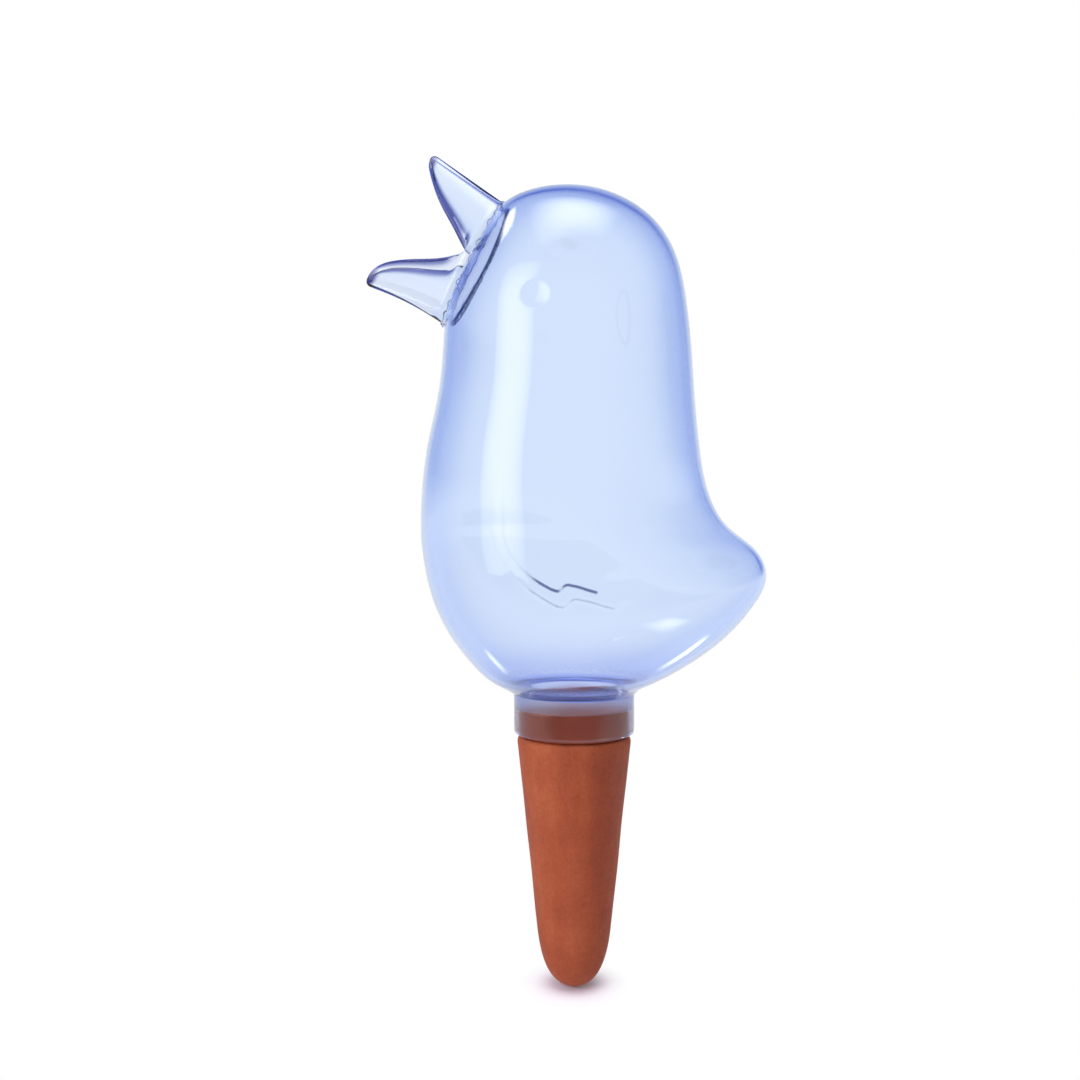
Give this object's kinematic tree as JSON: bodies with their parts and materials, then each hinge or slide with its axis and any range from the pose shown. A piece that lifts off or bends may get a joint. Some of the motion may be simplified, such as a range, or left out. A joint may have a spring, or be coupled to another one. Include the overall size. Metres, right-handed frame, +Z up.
{
  "type": "bird-shaped watering globe",
  "caption": "Clear hollow bird that is filled with water through its open beak and pushed over a porous clay cone, which stands in the soil of a plant pot and seeps the water out.",
  "frame": {"origin": "on the axis of the clay cone, at the clay shoulder, which is the soil line", "axes": "+Z up along the cone's axis, the beak points to -X, the bird is symmetric about the XZ plane"},
  "size_m": [0.1003, 0.068, 0.2088],
  "materials": {
    "terracotta": "matte, porous",
    "seal_brown": "matte",
    "blue_clear": "clear, glossy",
    "beak_clear": "clear, glossy",
    "adhesive_clear": "clear"
  },
  "bodies": {
    "stake": {"clay_cone": "terracotta"},
    "seal": {"sealing_sleeve": "seal_brown"},
    "reservoir": {"body_shell": "blue_clear", "beak": "beak_clear", "beak_bond": "adhesive_clear"}
  },
  "joints": [
    {"name": "turn", "type": "hinge", "parent": "stake", "child": "seal", "pos_m": [0, 0, 0], "axis": [0, 0, 1], "continuous": true},
    {"name": "lift", "type": "slide", "parent": "seal", "child": "reservoir", "axis": [0, 0, 1], "range_m": [0, 0.02]}
  ]
}
